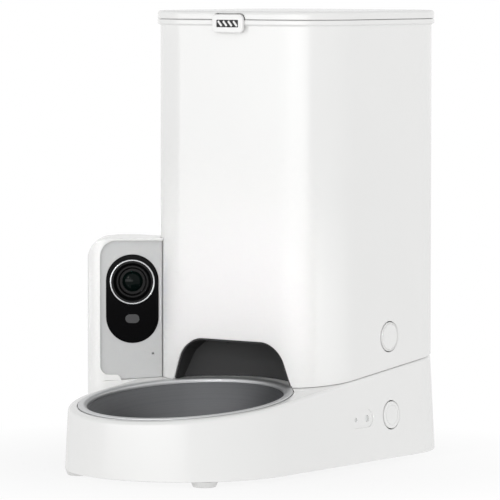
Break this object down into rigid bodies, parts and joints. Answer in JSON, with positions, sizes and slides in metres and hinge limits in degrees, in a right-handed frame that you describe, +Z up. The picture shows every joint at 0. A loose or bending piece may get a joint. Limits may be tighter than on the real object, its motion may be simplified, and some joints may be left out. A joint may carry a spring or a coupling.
{
  "type": "automatic pet feeder with camera",
  "caption": "Automatic pet feeder: square lift-off hopper with a hinged latched lid over a low base, a tilted steel bowl under a dark outlet arch, and a camera pod at the left.",
  "frame": {"origin": "middle of the footprint's bounding box, on the floor under the feet", "axes": "+Z up, the bowl and the feeder's front toward -Y, the camera pod on -X"},
  "size_m": [0.195, 0.2919, 0.31],
  "materials": {
    "white_plastic": "satin",
    "grey_plastic": "satin",
    "black_window": "polished",
    "bright_ring": "polished",
    "black_plastic": "satin",
    "lens_glass": "polished",
    "ir_window": "polished",
    "board": "solder mask",
    "dark_plastic": "satin",
    "steel": "drawn",
    "bowl_steel": "brushed",
    "gear_plastic": "moulded",
    "brass": "cut",
    "silicone": "matt",
    "rubber": "matt",
    "light_pipe": "frosted"
  },
  "bodies": {
    "base": {"base_shell": "white_plastic", "base_plate": "white_plastic", "rubber_feet": "rubber", "base_screws": "steel", "pod_shell": "white_plastic", "camera_panel": "grey_plastic", "camera_window": "black_window", "lens_ring": "bright_ring", "lens_barrel": "black_plastic", "lens_glass": "lens_glass", "ir_window": "ir_window", "camera_board": "board", "speaker": "dark_plastic", "main_board": "board", "key_board": "board", "power_inlet": "black_plastic", "led_window": "white_plastic", "led_lights": "light_pipe", "motor": "steel", "gearbox_case": "gear_plastic", "gearbox_cover": "gear_plastic", "idler_pin": "steel"},
    "hopper": {"hopper_shell": "white_plastic", "hopper_floor": "white_plastic", "hopper_bottom": "white_plastic", "outlet_liner": "dark_plastic", "outlet_baffle": "white_plastic", "hinge_pin": "steel"},
    "rotor": {"rotor_hub": "gear_plastic", "rotor_paddles": "silicone"},
    "drive": {"drive_gear": "gear_plastic"},
    "idler": {"idler_gear": "gear_plastic"},
    "pinion": {"pinion_gear": "brass"},
    "lid": {"lid_shell": "white_plastic", "lid_liner": "grey_plastic", "lid_seal": "silicone", "desiccant_case": "white_plastic", "desiccant_cap": "grey_plastic", "latch_pin": "steel"},
    "latch": {"latch": "white_plastic", "latch_grip": "dark_plastic"},
    "release_button": {"release_button": "white_plastic"},
    "feed_button": {"feed_button": "white_plastic"},
    "bowl": {"bowl": "bowl_steel"}
  },
  "joints": [
    {"name": "hopper_lift", "type": "slide", "parent": "base", "child": "hopper", "axis": [0, 0, 1], "range_m": [0, 0.11]},
    {"name": "lid_hinge", "type": "hinge", "parent": "hopper", "child": "lid", "pos_m": [0.015, 0.14345, 0.3046], "axis": [-1, 0, 0], "range_deg": [0, 100]},
    {"name": "latch_pivot", "type": "hinge", "parent": "lid", "child": "latch", "pos_m": [0.015, -0.01495, 0.3062], "axis": [-1, 0, 0], "range_deg": [0, 25]},
    {"name": "release_press", "type": "slide", "parent": "hopper", "child": "release_button", "axis": [-1, 0, 0], "range_m": [0, 0.003], "stiffness_N_per_m": 600},
    {"name": "feed_press", "type": "slide", "parent": "base", "child": "feed_button", "axis": [-0.9986, 0, -0.0523], "range_m": [0, 0.0015], "stiffness_N_per_m": 800},
    {"name": "bowl_lift", "type": "slide", "parent": "base", "child": "bowl", "axis": [0, -0.6691, 0.7431], "range_m": [0, 0.08]},
    {"name": "rotor_spin", "type": "hinge", "parent": "hopper", "child": "rotor", "pos_m": [0.015, 0.06295, 0.11], "axis": [0, 0, 1], "continuous": true},
    {"name": "drive_spin", "type": "hinge", "parent": "base", "child": "drive", "pos_m": [0.015, 0.06295, 0.049], "axis": [0, 0, 1], "continuous": true},
    {"name": "idler_spin", "type": "hinge", "parent": "base", "child": "idler", "pos_m": [0.015, 0.08995, 0.045], "axis": [0, 0, 1], "continuous": true},
    {"name": "pinion_spin", "type": "hinge", "parent": "base", "child": "pinion", "pos_m": [0.015, 0.11395, 0.042], "axis": [0, 0, 1], "continuous": true}
  ],
  "couplings": [
    {"joint": "drive_spin", "follows": "rotor_spin", "ratio": 1},
    {"joint": "idler_spin", "follows": "rotor_spin", "ratio": -3.5},
    {"joint": "pinion_spin", "follows": "rotor_spin", "ratio": 10.5}
  ]
}
